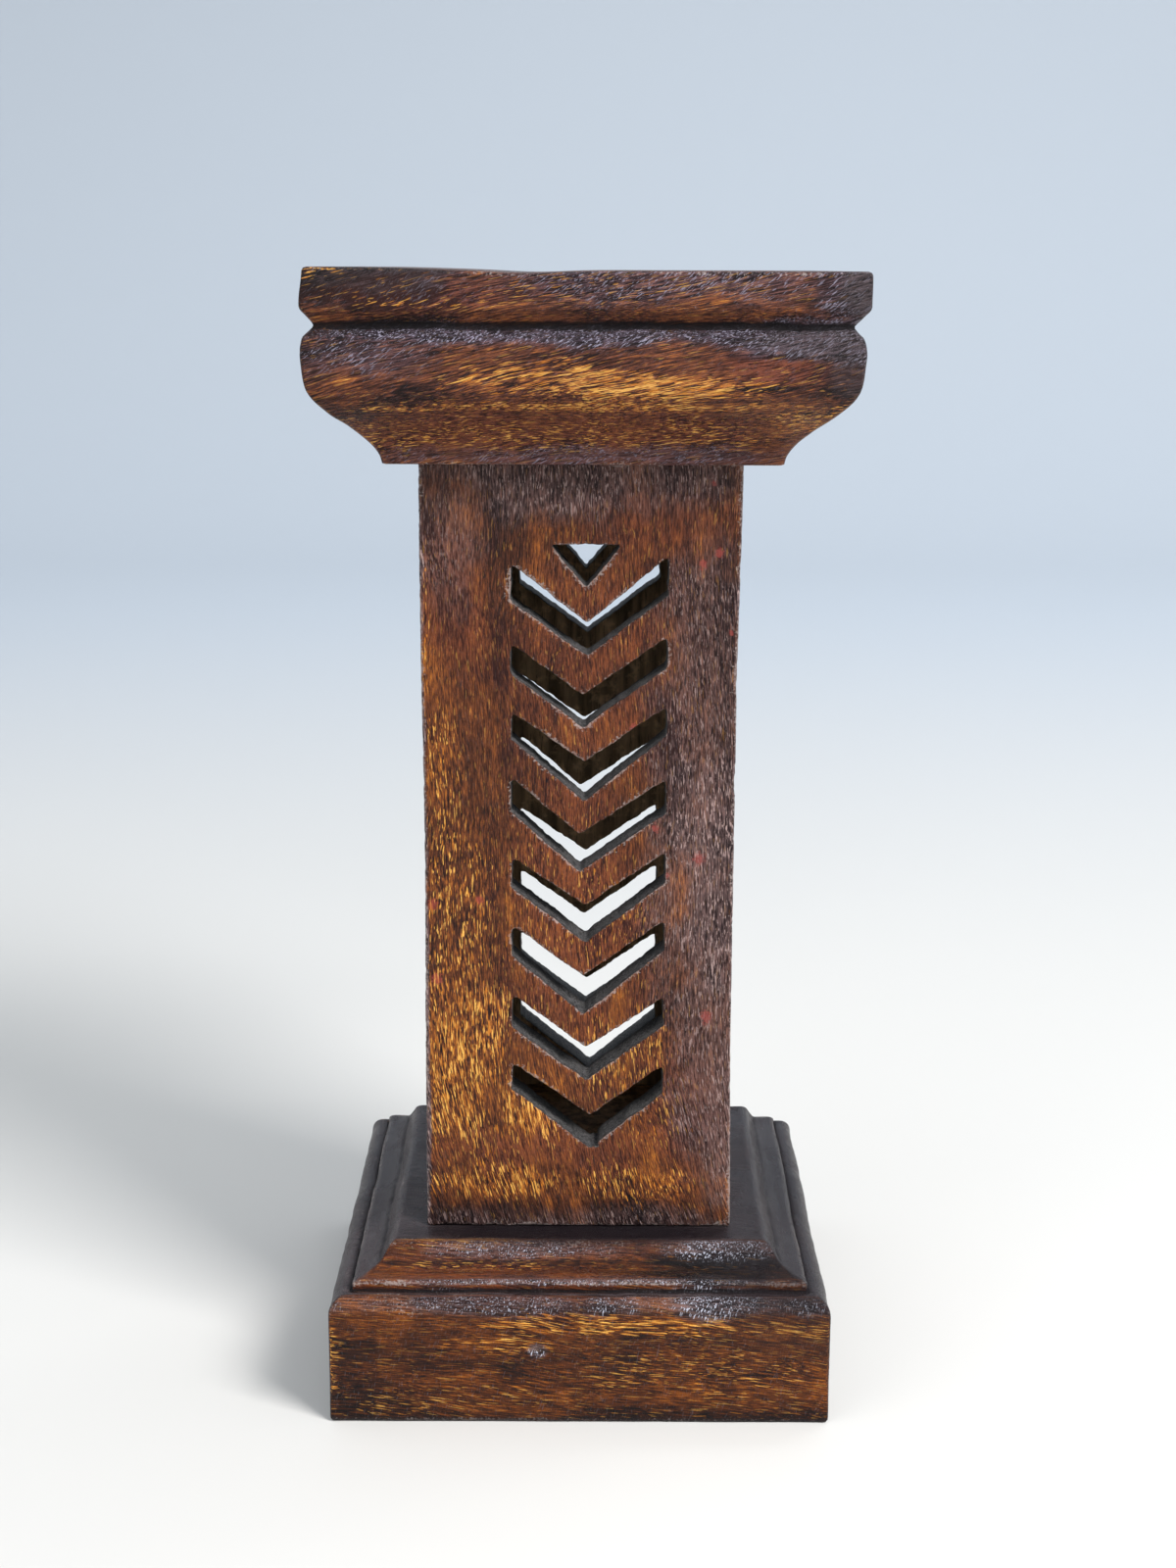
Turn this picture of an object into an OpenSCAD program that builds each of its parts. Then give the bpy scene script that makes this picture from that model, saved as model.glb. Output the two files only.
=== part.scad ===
// A wooden pedestal stand: a moulded base block, a hollow square column whose front and back
// panels are pierced with chevrons, and a moulded cap block with a flat top.
// The origin is at the centre of the base's underside. +Z is up, -Y is the front.

/* [Column] */
// Outside width and depth of the square column
column_w = 83; // [74:0.5:90]
// Height of the column from the base's pad to the cap's underside
column_h = 207; // [200:1:240]
// Thickness of the four column panels
panel_t = 10.5; // [8:0.5:13]

/* [Piercing] */
// Number of chevron slots below the triangle
chevron_count = 8; // [3:1:8]
// Distance from one chevron to the next
chevron_pitch = 19.3; // [18:0.1:20]
// Overall width of a chevron
chevron_w = 40.4; // [34:0.2:44]
// Rise of a chevron's arm from its apex to its end
chevron_rise = 15.6; // [12:0.2:18]
// Vertical opening of a chevron at its apex
chevron_gap = 9.8; // [8:0.2:11]
// Vertical opening of a chevron at its two ends
chevron_end_gap = 8.8; // [7:0.2:10]
// Distance of the pierced pattern to the right of the column's centre line
pattern_shift = 2.1; // [0:0.1:4]
// Distance of the chevrons' apexes to the left of the pattern's centre
apex_shift = 1; // [0:0.1:2]
// Height of the lowest chevron's apex above the base's pad, on the front panel
first_apex_h = 22.2; // [21:0.1:26]
// Distance by which the back panel's pattern sits lower than the front panel's
back_drop = 3.6; // [0:0.1:5]
// Width of the triangle above the chevrons
triangle_w = 19.4; // [15:0.2:24]
// Height of the triangle
triangle_h = 11.6; // [8:0.2:14]
// Height from the top chevron's apex to the triangle's apex
triangle_lift = 17.6; // [16.5:0.1:20]

/* [Base] */
// Width and depth of the square base block
base_w = 134; // [126:1:142]
// Height of the plinth's upright face, up to the start of its round-over
plinth_h = 30.6; // [26:0.2:34]
// Radius of the round-over above the plinth's face
roundover_r = 4.8; // [3:0.1:6]
// Distance from the plinth's face in to the fillet above the round-over
fillet_inset = 5.8; // [5:0.1:8]
// Height of the fillet's upright face
fillet_h = 2; // [1:0.1:3]
// Height of the pad, the base's top face
base_h = 45; // [43:0.5:48]
// Distance from the column's face out to the edge of the pad
pad_margin = 8.9; // [7:0.1:12]

/* [Cap] */
// Width and depth of the square cap block
cap_w = 136.4; // [128:0.4:142]
// Height of the cap block
cap_h = 48; // [46:0.5:52]
// Distance by which the cap sits to the right of the column's centre line
cap_shift = 0.8; // [0:0.1:1.5]
// Distance from the column's face out to the start of the cap's moulding
cap_margin = 8; // [6:0.1:10]
// Height of the upright fascia around the top
fascia_h = 10; // [8:0.2:12]
// Depth of the V-groove below the fascia
groove_d = 3.3; // [2:0.1:4]

/* [Hardware] */
// Thickness of the square locating plugs inside the column's ends
plug_t = 14; // [10:0.5:16]
// Distance between the two screws of a pair
screw_span = 30; // [20:1:40]
// Shank diameter of the wood screws
screw_d = 4; // [3:0.1:5]
// Head diameter of the wood screws
screw_head_d = 8; // [7:0.1:9]
// Length of the screws between the top plug and the cap
cap_screw_l = 38; // [30:1:44]
// Length of the screws between the base and the bottom plug
base_screw_l = 42; // [34:1:44]

/* [Hidden] */
$fn = 48;
eps = 0.01;

base_half = base_w / 2;
cap_half = cap_w / 2;
column_half = column_w / 2;
bore_w = column_w - 2 * panel_t;
cap_z = base_h + column_h;
worn_edge = 0.6;
head_h = screw_head_d / 2 - screw_d / 2;
screw_tip = screw_d;

// Top of the counterbores under the base, where the screws' heads seat
base_head_z = 22;

// Colours of the stained wood, its end faces and the steel
stain = [0.30, 0.13, 0.07];
stain_light = [0.40, 0.19, 0.08];
plug_wood = [0.55, 0.40, 0.25];
steel = [0.60, 0.60, 0.58];

// Points along an arc about centre c, from angle a0 to angle a1
function arc(c, r, a0, a1, steps = 8) =
    [for (i = [0:steps]) let (a = a0 + (a1 - a0) * i / steps) c + r * [cos(a), sin(a)]];

// Centre of an arc of radius r that passes through point p at angle a
function centre(p, r, a) = p - r * [cos(a), sin(a)];

// The point that an arc reaches at angle a1 after leaving point p at angle a0
function arc_end(p, r, a0, a1) = centre(p, r, a0) + r * [cos(a1), sin(a1)];

// A closed outline from the right half of a profile, listed from its foot to its top
function both_sides(half) =
    concat(half, [for (i = [len(half) - 1:-1:0]) [-half[i][0], half[i][1]]]);

// Right half of the base block's profile: an upright plinth, a round-over, a fillet, a shallow
// cove and the pad's rounded rim
pad_half = column_half + pad_margin;
roundover_a = 75;
ledge_z = plinth_h + roundover_r * sin(roundover_a);
fillet_half = base_half - fillet_inset;
fillet_top = ledge_z + fillet_h;
cove_w = 5.4;
cove_h = 2.1;
rim_r = 3.2;
rim_inset = 1.4;
rim_foot = [pad_half + 2.2, base_h - 3.8];
base_profile = concat(
    [[base_half - worn_edge, 0], [base_half, worn_edge]],
    arc([base_half - roundover_r, plinth_h], roundover_r, 0, roundover_a),
    [[fillet_half, ledge_z], [fillet_half, fillet_top]],
    [[fillet_half - cove_w / 2, fillet_top + cove_h * 0.4], [fillet_half - cove_w, fillet_top + cove_h]],
    [rim_foot],
    arc([pad_half - rim_inset, base_h - rim_r], rim_r, 10, 90, 6));

// Right half of the cap block's profile, from its underside to its top: a hollow curve, a short
// straight slope, a rounded shoulder, a full belly, a V-groove and an upright fascia. Each curve
// leaves the one before it in line, and the slope's angle is above the horizontal.
slope_a = 36;
neck = [column_half + cap_margin, 0];
hollow_r = 21;
hollow_a = 160;
slope_start = arc_end(neck, hollow_r, hollow_a, 90 + slope_a);
slope_l = 7;
slope_end = slope_start + slope_l * [cos(slope_a), sin(slope_a)];
shoulder_r = 10.4;
shoulder_a = -14;
shoulder_end = arc_end(slope_end, shoulder_r, slope_a - 90, shoulder_a);
belly_r = 38;
belly_end = arc_end(shoulder_end, belly_r, shoulder_a, 0);
fascia_z = cap_h - fascia_h;
groove_z = fascia_z - 3.7;
groove_foot = 0.4;
cap_profile = concat(
    arc(centre(neck, hollow_r, hollow_a), hollow_r, hollow_a, 90 + slope_a),
    arc(centre(slope_end, shoulder_r, slope_a - 90), shoulder_r, slope_a - 90, shoulder_a, 6),
    arc(centre(shoulder_end, belly_r, shoulder_a), belly_r, shoulder_a, 0, 5),
    [[belly_end[0], groove_z - 3.3], [cap_half - 1.5, groove_z - 2]],
    [[cap_half - groove_d, groove_z - groove_foot], [cap_half - groove_d, groove_z + groove_foot]],
    [[cap_half, fascia_z], [cap_half, cap_h - worn_edge], [cap_half - worn_edge, cap_h]]);

// A square block with the same moulding on its four sides, mitred at its corners
module moulded_block(profile, w) {
    intersection() {
        rotate([90, 0, 0])
            linear_extrude(w, center = true) polygon(both_sides(profile));
        rotate([90, 0, 90])
            linear_extrude(w, center = true) polygon(both_sides(profile));
    }
}

// Draws its children at each screw of a pair
module at_screws() {
    for (x = [-1, 1]) translate([x * screw_span / 2, 0, 0]) children();
}

// A countersunk wood screw with its head at z = 0 and its tip up at z = l
module wood_screw(l) {
    difference() {
        union() {
            cylinder(h = head_h, d1 = screw_head_d, d2 = screw_d);
            cylinder(h = l - screw_tip, d = screw_d);
            translate([0, 0, l - screw_tip]) cylinder(h = screw_tip, d1 = screw_d, d2 = 0.6);
        }
        translate([0, 0, -eps]) cylinder(h = head_h * 0.6, d = screw_head_d * 0.28, $fn = 6);
    }
}

// The hole that a wood screw fills, with its countersink
module screw_hole(l) {
    cylinder(h = head_h, d1 = screw_head_d, d2 = screw_d);
    cylinder(h = l - screw_tip, d = screw_d);
    translate([0, 0, l - screw_tip]) cylinder(h = screw_tip, d1 = screw_d, d2 = 0.6);
}

// Outline of one chevron, with its lower apex at the origin
module chevron() {
    left = -chevron_w / 2 + apex_shift;
    right = chevron_w / 2 + apex_shift;
    polygon([[0, 0], [right, chevron_rise], [right, chevron_rise + chevron_end_gap],
             [0, chevron_gap], [left, chevron_rise + chevron_end_gap], [left, chevron_rise]]);
}

// Outline of the small triangle, with its apex at the origin
module triangle() {
    polygon([[0, 0], [triangle_w / 2, triangle_h], [-triangle_w / 2, triangle_h]]);
}

// The whole pierced pattern, measured from the column's foot
module piercing() {
    translate([pattern_shift - apex_shift, first_apex_h]) {
        for (i = [0:chevron_count - 1]) translate([0, i * chevron_pitch]) chevron();
        translate([0, (chevron_count - 1) * chevron_pitch + triangle_lift]) triangle();
    }
}

// A pierced panel that stands on the base's pad with its outer face at y = 0
module pierced_panel(drop) {
    translate([0, 0, base_h]) rotate([90, 0, 0]) translate([0, 0, -panel_t])
        linear_extrude(panel_t) difference() {
            translate([-column_half, 0]) square([column_w, column_h]);
            translate([0, -drop]) piercing();
        }
}

// A plain panel between the two pierced ones
module plain_panel() {
    translate([0, -bore_w / 2, base_h]) cube([panel_t, bore_w, column_h]);
}

module front_panel() {
    color(stain) translate([0, -column_half, 0]) pierced_panel(0);
}

module back_panel() {
    color(stain) translate([0, column_half - panel_t, 0]) pierced_panel(back_drop);
}

module left_panel() {
    color(stain) translate([-column_half, 0, 0]) plain_panel();
}

module right_panel() {
    color(stain) translate([column_half - panel_t, 0, 0]) plain_panel();
}

module bottom_plug() {
    color(plug_wood) difference() {
        translate([-bore_w / 2, -bore_w / 2, base_h]) cube([bore_w, bore_w, plug_t]);
        at_screws() translate([0, 0, base_head_z]) screw_hole(base_screw_l);
    }
}

module top_plug() {
    color(plug_wood) difference() {
        translate([-bore_w / 2, -bore_w / 2, cap_z - plug_t]) cube([bore_w, bore_w, plug_t]);
        at_screws() translate([0, 0, cap_z - plug_t]) screw_hole(cap_screw_l);
    }
}

module base_block() {
    color(stain_light) difference() {
        moulded_block(base_profile, base_w);
        at_screws() {
            translate([0, 0, -eps]) cylinder(h = base_head_z + 2 * eps, d = screw_head_d + 1);
            translate([0, 0, base_head_z]) screw_hole(base_screw_l);
        }
    }
}

module cap_block() {
    color(stain_light) difference() {
        translate([cap_shift, 0, cap_z]) moulded_block(cap_profile, cap_w);
        at_screws() translate([0, 0, cap_z - plug_t]) screw_hole(cap_screw_l);
    }
}

module base_screws() {
    color(steel) at_screws() translate([0, 0, base_head_z]) wood_screw(base_screw_l);
}

module cap_screws() {
    color(steel) at_screws() translate([0, 0, cap_z - plug_t]) wood_screw(cap_screw_l);
}

base_block();
bottom_plug();
base_screws();
front_panel();
back_panel();
left_panel();
right_panel();
top_plug();
cap_screws();
cap_block();
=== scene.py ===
import math

import bpy
import numpy as np
from mathutils import Matrix, Vector, geometry, kdtree, noise


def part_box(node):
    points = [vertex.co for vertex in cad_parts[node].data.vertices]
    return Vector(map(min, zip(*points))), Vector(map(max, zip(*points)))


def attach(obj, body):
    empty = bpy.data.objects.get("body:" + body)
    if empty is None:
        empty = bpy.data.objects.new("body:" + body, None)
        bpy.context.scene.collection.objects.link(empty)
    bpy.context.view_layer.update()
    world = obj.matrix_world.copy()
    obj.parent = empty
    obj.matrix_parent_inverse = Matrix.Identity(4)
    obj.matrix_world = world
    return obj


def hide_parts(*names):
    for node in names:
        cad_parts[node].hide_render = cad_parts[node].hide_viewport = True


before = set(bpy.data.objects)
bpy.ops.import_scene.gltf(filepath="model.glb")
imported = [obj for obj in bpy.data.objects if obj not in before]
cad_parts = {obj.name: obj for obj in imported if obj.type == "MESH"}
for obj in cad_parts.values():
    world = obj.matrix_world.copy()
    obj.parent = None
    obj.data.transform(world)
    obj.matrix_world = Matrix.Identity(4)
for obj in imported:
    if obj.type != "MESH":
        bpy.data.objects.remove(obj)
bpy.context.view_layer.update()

# A worn, dark-stained wooden pedestal. Shapes are worked out in millimetres from the CAD boxes,
# and become metres when a mesh is made. -Y is the front.
MM = 0.001


def box_mm(node):
    """The low and high corners of a CAD node's box, in mm."""
    low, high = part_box(node)
    return np.array(low) / MM, np.array(high) / MM


BASE_LOW, BASE_HIGH = box_mm("base_block")
CAP_LOW, CAP_HIGH = box_mm("cap_block")
FRONT_LOW, FRONT_HIGH = box_mm("front_panel")
SIDE_LOW, SIDE_HIGH = box_mm("left_panel")

PANEL_T = FRONT_HIGH[1] - FRONT_LOW[1]
COLUMN_HALF = FRONT_HIGH[0]
FOOT_Z, NECK_Z = FRONT_LOW[2], FRONT_HIGH[2]
COLUMN_H = NECK_Z - FOOT_Z


# ---------------------------------------------------------------- mesh tools

def wobble(points, size, seed, octaves=3):
    """Smooth noise, about -1 to 1, at points in mm, with features about size mm across."""
    shift = Vector((seed * 7.31, seed * 3.77, seed * 5.13))
    return np.array([noise.fractal(Vector(p) / size + shift, 1.0, 2.0, octaves) for p in points])


def step(x, low, high):
    """Smooth step from 0 at low to 1 at high."""
    t = np.clip((x - low) / (high - low), 0, 1)
    return t * t * (3 - 2 * t)


def resampled(points, spacing, closed=True):
    """The same line with its points about spacing mm apart."""
    if closed:
        points = np.vstack([points, points[:1]])
    length = np.concatenate([[0], np.cumsum(np.linalg.norm(np.diff(points, axis=0), axis=1))])
    count = max(3, round(length[-1] / spacing))
    at = np.linspace(0, length[-1], count + 1)
    line = np.column_stack([np.interp(at, length, points[:, k]) for k in (0, 1)])
    return line[:-1] if closed else line


def rounded(corners, radii, steps=5):
    """A closed outline whose corners are rounded, each by its own radius in mm."""
    line = []
    count = len(corners)
    for k, radius in enumerate(radii):
        corner, before, after = (np.array(corners[j % count], float) for j in (k, k - 1, k + 1))
        back = (before - corner) / np.linalg.norm(before - corner)
        on = (after - corner) / np.linalg.norm(after - corner)
        half_angle = math.acos(float(np.clip(back @ on, -1, 1))) / 2
        reach = radius / math.tan(half_angle)
        start, end = corner + back * reach, corner + on * reach
        for t in np.linspace(0, 1, steps):
            line.append((1 - t) ** 2 * start + 2 * t * (1 - t) * corner + t ** 2 * end)
    return np.array(line)


def outward(loop):
    """Unit normals of a counter-clockwise loop, pointing out of it."""
    along = np.roll(loop, -1, 0) - np.roll(loop, 1, 0)
    normal = np.column_stack([along[:, 1], -along[:, 0]])
    return normal / np.linalg.norm(normal, axis=1)[:, None]


def inside(points, loop):
    """Which points lie within a closed outline, by counting the edges to their right."""
    u, v = points[:, 0, None], points[:, 1, None]
    (u0, v0), (u1, v1) = loop.T, np.roll(loop, -1, 0).T
    rise = np.where(v1 == v0, 1e-9, v1 - v0)
    crossed = ((v0 > v) != (v1 > v)) & (u < u0 + (v - v0) * (u1 - u0) / rise)
    return crossed.sum(1) % 2 == 1


def filled(loops, spacing):
    """Triangles between loops[0] and the holes loops[1:], with a grid of points between them.
    The points start with the loops' own, in order."""
    def between(points):
        within = inside(points, loops[0])
        for hole in loops[1:]:
            within &= ~inside(points, hole)
        return within

    rim = np.concatenate(loops)
    edges, first = [], 0
    for loop in loops:
        count = len(loop)
        edges += [(first + k, first + (k + 1) % count) for k in range(count)]
        first += count
    tree = kdtree.KDTree(len(rim))
    for k, (u, v) in enumerate(rim):
        tree.insert((u, v, 0), k)
    tree.balance()
    low, high = rim.min(0), rim.max(0)
    grid = []
    for row, v in enumerate(np.arange(low[1], high[1], spacing * 0.87)):
        for u in np.arange(low[0] + (row % 2) * spacing / 2, high[0], spacing):
            if tree.find((u, v, 0))[2] > spacing * 0.55:
                grid.append((u, v))
    grid = np.array(grid)
    points = np.vstack([rim, grid[between(grid)]])
    done = geometry.delaunay_2d_cdt([Vector(p) for p in points], edges, [], 0, 1e-6, True)
    source = [ids[0] for ids in done[3]]
    triangles = np.array([[source[k] for k in triangle] for triangle in done[2]])
    return points, triangles[between(points[triangles].mean(1))].tolist()


def relief(mesh, rounds):
    """How far each point stands proud of its smoothed surroundings, in mm along its normal."""
    points = np.zeros(len(mesh.vertices) * 3)
    mesh.vertices.foreach_get("co", points)
    points = points.reshape(-1, 3) / MM
    normals = np.zeros(len(mesh.vertices) * 3)
    mesh.vertices.foreach_get("normal", normals)
    ends = np.zeros(len(mesh.edges) * 2, int)
    mesh.edges.foreach_get("vertices", ends)
    a, b = ends.reshape(-1, 2).T
    count = np.bincount(a, minlength=len(points)) + np.bincount(b, minlength=len(points))
    smooth = points.copy()
    for _ in range(rounds):
        for k in range(3):
            total = np.bincount(a, smooth[b, k], len(points))
            total += np.bincount(b, smooth[a, k], len(points))
            smooth[:, k] = (smooth[:, k] + total / np.maximum(count, 1)) / 2
    return ((points - smooth) * normals.reshape(-1, 3)).sum(1)


def make_piece(name, points, faces, finishes, slots=None, rounds=10, reach=0.3):
    """A smooth mesh object from points in mm. Its relief attribute runs from -1 in a hollow
    corner to 1 on a sharp edge, and reach is the relief in mm that counts as 1."""
    mesh = bpy.data.meshes.new(name)
    mesh.from_pydata([tuple(p) for p in points * MM], [], faces)
    mesh.validate()
    if slots is not None:
        mesh.polygons.foreach_set("material_index", slots)
    mesh.shade_smooth()
    value = mesh.attributes.new("relief", "FLOAT", "POINT")
    value.data.foreach_set("value", np.clip(relief(mesh, rounds) / reach, -1, 1).astype(np.float32))
    for finish in finishes:
        mesh.materials.append(finish)
    piece = bpy.data.objects.new(name, mesh)
    bpy.context.scene.collection.objects.link(piece)
    return piece


def strip(first, second, count, flip):
    """The faces between two rings of count points that start at these indices."""
    faces = []
    for k in range(count):
        face = [first + k, first + (k + 1) % count, second + (k + 1) % count, second + k]
        faces.append(face[::-1] if flip else face)
    return faces


# ---------------------------------------------------------------- moulded blocks

# Distances in mm between a block's points: round it, up its moulding and on its flat faces
RING_STEP = 0.8
ROW_STEP = 0.7
FLAT_STEP = 2.2
CORNER_POINTS = 6


def square_ring(half, corner, per_side):
    """Points round a square of this half width with rounded corners, from the front's left end."""
    ring = []
    inner = half - corner
    for side in range(4):
        turn = side * math.pi / 2
        local = [(u, -half) for u in np.linspace(-inner, inner, per_side)]
        for k in range(1, CORNER_POINTS):
            angle = -math.pi / 2 * (1 - k / CORNER_POINTS)
            local.append((inner + corner * math.cos(angle), -inner + corner * math.sin(angle)))
        for u, v in local:
            ring.append((u * math.cos(turn) - v * math.sin(turn),
                         u * math.sin(turn) + v * math.cos(turn)))
    return np.array(ring)


def moulded_block(name, profile, centre, corner, carve, finish, seed):
    """A square block with one moulding on its four sides. profile lists (half width, height)
    from the underside up, corner is the radius of its upright edges, and carve moves its
    points as the hand tools left them."""
    rows = resampled(np.array(profile, float), ROW_STEP, closed=False)
    per_side = round(2 * rows[:, 0].max() / RING_STEP)
    wear = 1 + 0.5 * wobble([(0, 0, z) for z in rows[:, 1]], 9, seed)
    rings = [square_ring(half, corner * w, per_side) for (half, _), w in zip(rows, wear)]
    count = len(rings[0])
    points = np.vstack([np.column_stack([ring, np.full(count, z)])
                        for ring, (_, z) in zip(rings, rows)])
    faces = []
    for k in range(len(rows) - 1):
        faces += strip(k * count, (k + 1) * count, count, False)
    for first, flip in ((0, True), ((len(rows) - 1) * count, False)):
        rim = points[first:first + count]
        flat, triangles = filled([rim[:, :2]], FLAT_STEP)
        start = len(points)
        inner = flat[count:]
        points = np.vstack([points, np.column_stack([inner, np.full(len(inner), rim[0, 2])])])
        for triangle in triangles:
            face = [first + k if k < count else start + k - count for k in triangle]
            faces.append(face[::-1] if flip else face)
    points = carve(points)
    points[:, :2] += centre
    return make_piece(name, points, faces, [finish])


def arc(start, radius, a0, a1, steps=8):
    """Points of an arc that leaves start at angle a0 about its centre, up to angle a1."""
    at = np.radians(np.linspace(a0, a1, steps + 1))
    centre = np.array(start) - radius * np.array([math.cos(at[0]), math.sin(at[0])])
    return [tuple(centre + radius * np.array([math.cos(a), math.sin(a)])) for a in at]


def smooth_curve(keys, steps=6):
    """A Catmull-Rom curve through key points."""
    keys = np.array([keys[0]] + keys + [keys[-1]], float)
    line = []
    for before, start, end, after in zip(keys, keys[1:], keys[2:], keys[3:]):
        for t in np.linspace(0, 1, steps, endpoint=False):
            bend = (2 * before - 5 * start + 4 * end - after) * t ** 2
            bend += (3 * start - before - 3 * end + after) * t ** 3
            line.append(tuple((2 * start + (end - before) * t + bend) / 2))
    return line + [tuple(keys[-1])]


def push(points, amount):
    """Moves points out from the block's axis, square to the side that they are on, in mm."""
    side = np.abs(points[:, 0]) > np.abs(points[:, 1])
    moved = points.copy()
    moved[side, 0] += (np.sign(points[:, 0]) * amount)[side]
    moved[~side, 1] += (np.sign(points[:, 1]) * amount)[~side]
    return moved


def near_corner(points, reach):
    """0 at a block's mitred corners, rising to 1 at reach mm from them."""
    return step(np.abs(np.abs(points[:, 0]) - np.abs(points[:, 1])), 0, reach)


def base_profile():
    """Half widths and heights of the base block, from its underside up."""
    half, top = BASE_HIGH[0] - 0.2, BASE_HIGH[2]
    plinth_z, roundover_r, fillet_in, pad_margin = 30.4, 4.8, 5.8, 8.7
    pad = COLUMN_HALF + pad_margin
    line = [(half - 1.0, 0), (half - 0.35, 0.3), (half, 1.1), (half, 12), (half, 22)]
    line += arc((half, plinth_z), roundover_r, 0, 72)
    ledge_z = line[-1][1]
    fillet = half - fillet_in
    line += [(fillet + 1.2, ledge_z + 0.1), (fillet + 0.1, ledge_z - 0.5)]
    line += [(fillet - 0.1, ledge_z + 0.3), (fillet, ledge_z + 1.6), (fillet - 0.2, ledge_z + 2.2)]
    line += smooth_curve([(fillet - 1.3, ledge_z + 2.8), (fillet - 4.0, ledge_z + 3.6),
                          (fillet - 6.6, ledge_z + 4.9), (pad + 3.0, top - 3.7),
                          (pad + 2.2, top - 2.4), (pad + 1.2, top - 0.9), (pad - 0.3, top - 0.1)])
    return line + [(pad - 1.6, top)]


def cap_profile():
    """Half widths and heights of the cap block, from its underside up."""
    half, top, bottom = (CAP_HIGH[0] - CAP_LOW[0]) / 2, CAP_HIGH[2], CAP_LOW[2]
    neck, groove = COLUMN_HALF + 8.6, top - 14
    hollow = smooth_curve([(neck, bottom + 0.3), (neck + 0.7, bottom + 2.7),
                           (neck + 2.8, bottom + 5.5), (neck + 6.8, bottom + 9.1),
                           (neck + 11.9, bottom + 13.1), (half - 1.7, bottom + 18.6),
                           (half - 0.45, bottom + 26), (half - 0.45, groove - 5),
                           (half - 1.0, groove - 2.4)])
    line = [(neck - 0.6, bottom), (neck - 0.1, bottom + 0.1)] + hollow
    line += [(half - 2.6, groove - 0.8), (half - 3.4, groove), (half - 3.3, groove + 0.5)]
    line += [(half - 1.2, groove + 2.9), (half - 0.3, groove + 3.8), (half, groove + 4.8)]
    return line + [(half, top - 4), (half, top - 1.0), (half - 0.3, top - 0.3), (half - 1.0, top)]


def carve_base(points):
    """The base block's hand-cut unevenness."""
    # Slow waves and tool marks on the mouldings, which fade out at the mitres
    z = points[:, 2]
    edge = step(z, 0, 3) * step(BASE_HIGH[2] - z, -1, 1)
    slow = wobble(points, 26, 1.0) * 0.35 - 0.25
    fast = wobble(points, 5, 2.0) * 0.12
    moved = push(points, (slow + fast) * near_corner(points, 6) * step(z, -1, 2))
    moved[:, 2] += wobble(points, 18, 3.0) * 0.22 * edge * step(z, 26, 33)
    # The front is a millimetre narrower than the back
    back = (points[:, 1] + BASE_HIGH[1]) / (2 * BASE_HIGH[1])
    moved[:, 0] += np.sign(points[:, 0]) * (back - 1) * 0.5
    # The pad under the column is nearly flat
    top = points[:, 2] > BASE_HIGH[2] - 0.01
    moved[top, 2] = BASE_HIGH[2] - 0.12 + 0.1 * wobble(points[top], 9, 4.0)
    return moved


def carve_cap(points):
    """The cap block's hand-cut unevenness: a dipping top edge and a groove of uneven depth."""
    x, y, z = points.T
    # The front's groove is shallower at its two ends
    groove_z = CAP_HIGH[2] - 14.2
    in_groove = np.exp(-((z - groove_z) / 1.9) ** 2)
    end_step = step(x, 51.5, 52.5) + 0.7 * step(-x, 60, 62)
    shallow = in_groove * (y < -50) * (0.45 * end_step + 0.25 * wobble(points, 11, 9.0))
    # Slow waves and tool marks on the mouldings, which fade out at the mitres
    slow = wobble(points, 30, 5.0) * 0.3
    fast = wobble(points, 5, 6.0) * 0.13
    lift = step(z, CAP_LOW[2], CAP_LOW[2] + 3)
    moved = push(points, (slow + fast) * near_corner(points, 6) * lift + shallow)
    moved[:, 2] += wobble(points, 16, 7.0) * 0.3 * lift * step(CAP_HIGH[2] - z, 0.5, 5)
    # The top edge dips left of the middle, and its left end leans in
    dip = 0.7 * step(x, -60, -20) + 0.55 * np.exp(-((x + 14) / 11) ** 2)
    fascia = step(z, CAP_HIGH[2] - 9, CAP_HIGH[2] - 1)
    moved[:, 2] -= (0.1 + dip) * fascia
    moved[:, 0] += 0.9 * fascia * step(-x, 40, 66)
    # The part below the groove sits to the left, and the groove's right end is cut deep
    moved[:, 0] -= 0.45 * step(groove_z - z, -2, 2)
    moved[:, 0] -= 0.8 * step(x, 55, 62) * np.exp(-((z - groove_z + 0.4) / 1.9) ** 2)
    reach = (CAP_HIGH[0] - CAP_LOW[0]) / 2 - 0.05
    moved[:, :2] = np.clip(moved[:, :2], -reach, reach)
    return moved


# ---------------------------------------------------------------- column panels

# The eight chevrons of one panel, from the lowest up. Each row holds, in mm: the lower apex's
# height above the column's foot and its place across, the rise of the left and right arms,
# the opening at the apex, and the openings at the left and right ends.
CHEVRONS = [
    (22.4, 2.7, 17.0, 16.0, 9.9, 7.9, 8.2),
    (41.8, 1.6, 15.2, 15.8, 9.6, 9.4, 8.3),
    (60.4, 0.8, 16.2, 18.2, 11.2, 8.9, 8.4),
    (80.5, 1.3, 15.1, 16.4, 10.4, 8.6, 8.6),
    (99.8, -0.3, 16.2, 16.0, 10.4, 9.7, 9.4),
    (118.9, 0.8, 16.6, 17.6, 10.8, 7.6, 8.1),
    (138.5, 0.5, 14.2, 16.0, 8.9, 8.2, 8.2),
    (157.3, 1.5, 14.2, 15.8, 8.8, 10.2, 10.4),
]
CHEVRON_ENDS = (-18.3, 22.4)
TRIANGLE = [(1.2, 174.9), (10.6, 186.2), (-8.6, 186.4)]
# How much lower than the front's the back panel's chevrons and its triangle sit, in mm
BACK_DROPS = (3.6, 3.6, 3.6, 3.6, 3.2, 2.5, 3.6, 5.3, 4.8)
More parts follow.
